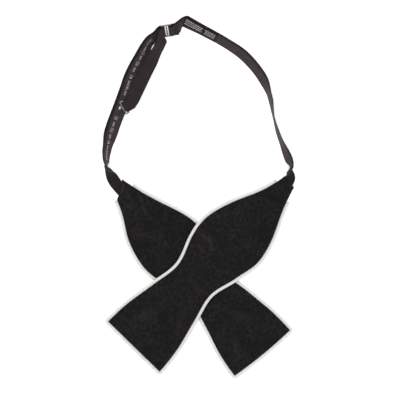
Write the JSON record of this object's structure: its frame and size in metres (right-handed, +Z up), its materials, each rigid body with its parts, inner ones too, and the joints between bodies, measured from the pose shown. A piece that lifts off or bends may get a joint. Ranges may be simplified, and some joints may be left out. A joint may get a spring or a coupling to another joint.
{
  "type": "self-tie bow tie",
  "caption": "Untied adjustable bow tie: two flared piped blades crossing, a neck band with a joining slide and a size hook.",
  "frame": {"origin": "on the surface the tie lies on, under the middle of its outline", "axes": "+Z up from the surface, +Y from the blades' ends towards the joining slide, +X towards the blade that lies on top at its neck"},
  "size_m": [0.1742, 0.3282, 0.0128],
  "materials": {
    "barathea": "matte, fine-grained barathea weave",
    "lining": "plain smooth weave",
    "interlining": "brushed wool",
    "satin_piping": "satin, bias cut",
    "piping_cord": "twisted cotton",
    "band_ribbon": "ribbed ribbon",
    "mark_thread": "woven pale thread",
    "black_thread": "twisted thread",
    "label": "damask woven label",
    "hardware": "nickel-plated wire, satin"
  },
  "bodies": {
    "left_half": {"under_blade_face": "barathea", "under_blade_interlining": "interlining", "under_blade_lining": "lining", "under_piping_cover": "satin_piping", "under_piping_cord": "piping_cord", "under_neck_tack": "black_thread", "left_band": "band_ribbon", "size_marks": "mark_thread", "tail_stitching": "black_thread"},
    "right_half": {"right_band": "band_ribbon", "loop_stitching": "black_thread", "woven_label": "label", "label_stitching": "mark_thread", "over_blade_face": "barathea", "over_blade_interlining": "interlining", "over_blade_lining": "lining", "over_piping_cover": "satin_piping", "over_piping_cord": "piping_cord", "over_neck_tack": "black_thread"},
    "slide": {"joining_slide": "hardware"},
    "hook": {"size_hook": "hardware"}
  },
  "joints": [
    {"name": "half_swing", "type": "hinge", "parent": "left_half", "child": "right_half", "pos_m": [-0.0281, 0.1498, 0.0061], "axis": [-0.087, 0, 0.9962], "range_deg": [0, 10]},
    {"name": "slide_swing", "type": "hinge", "parent": "left_half", "child": "slide", "pos_m": [-0.0281, 0.1498, 0.0061], "axis": [-0.087, 0, 0.9962], "range_deg": [0, 5]},
    {"name": "hook_lift", "type": "hinge", "parent": "left_half", "child": "hook", "pos_m": [-0.0654, 0.0812, 0.0044], "axis": [-0.4848, 0.8746, 0], "range_deg": [0, 60]}
  ],
  "couplings": [
    {"joint": "slide_swing", "follows": "half_swing", "ratio": 0.5}
  ]
}
